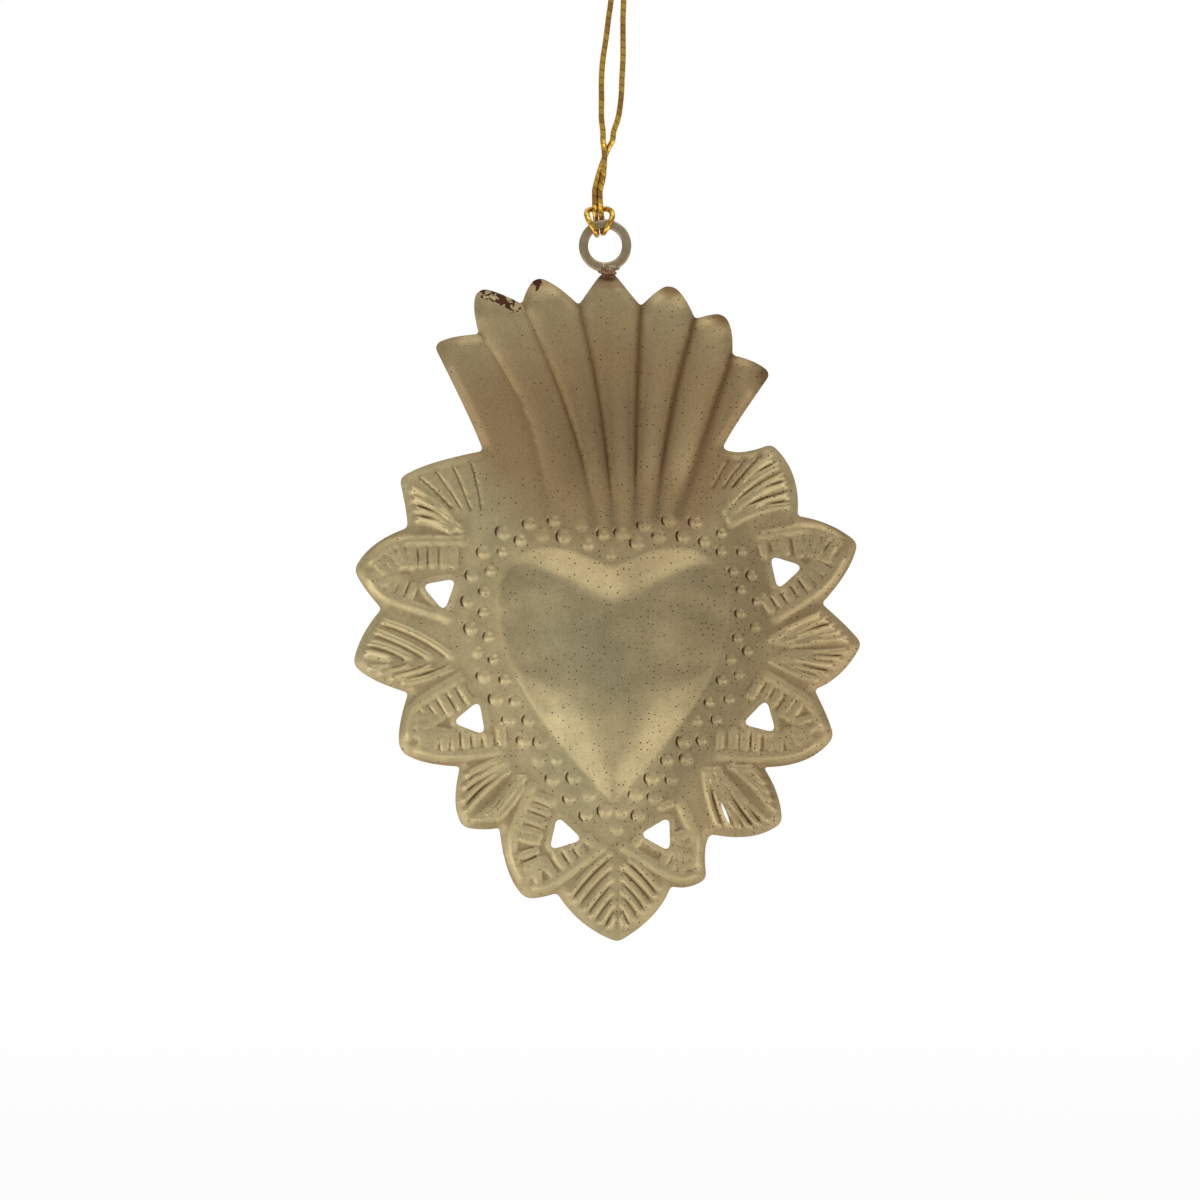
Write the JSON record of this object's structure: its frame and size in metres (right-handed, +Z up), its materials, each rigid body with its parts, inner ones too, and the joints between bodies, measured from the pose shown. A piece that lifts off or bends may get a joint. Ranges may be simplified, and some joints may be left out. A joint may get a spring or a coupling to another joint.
{
  "type": "brass sun heart ornament",
  "caption": "Pressed brass hanging ornament: a domed heart in a beaded border with a fluted crown and pierced sun petals, on a soldered ring and a gold cord loop.",
  "frame": {"origin": "under the knot of the cord loop, where a hook carries it", "axes": "+Z up, the face of the ornament looks along -Y, +X to the right as seen from the front"},
  "size_m": [0.1014, 0.0062, 0.2114],
  "materials": {
    "antique_brass": "pressed brass sheet, antiqued and rubbed back, satin",
    "ring_brass": "dull brass wire, tarnished",
    "solder": "soft solder, brown-grey and matt",
    "gold_cord": "thread core wrapped in gold foil"
  },
  "bodies": {
    "cord_top": {"cord_knot": "gold_cord", "cord_left_leg": "gold_cord", "cord_right_leg": "gold_cord"},
    "strands": {"cord_left_strand": "gold_cord", "cord_right_strand": "gold_cord"},
    "hitch": {"cord_hitch": "gold_cord"},
    "ornament": {"pressed_plate": "antique_brass", "hanging_ring": "ring_brass", "ring_solder": "solder"}
  },
  "joints": [
    {"name": "cord_twist", "type": "hinge", "parent": "cord_top", "child": "strands", "pos_m": [-0.001, 0, -0.0396], "axis": [0, 0, 1], "range_deg": [-180, 180], "stiffness_Nm_per_rad": 0.0002},
    {"name": "cord_swing", "type": "hinge", "parent": "strands", "child": "hitch", "pos_m": [-0.001, 0, -0.052], "axis": [1, 0, 0], "range_deg": [-90, 90]},
    {"name": "ring_roll", "type": "hinge", "parent": "hitch", "child": "ornament", "pos_m": [-0.0016, 0, -0.06143], "axis": [0, 1, 0], "range_deg": [-90, 90]}
  ]
}
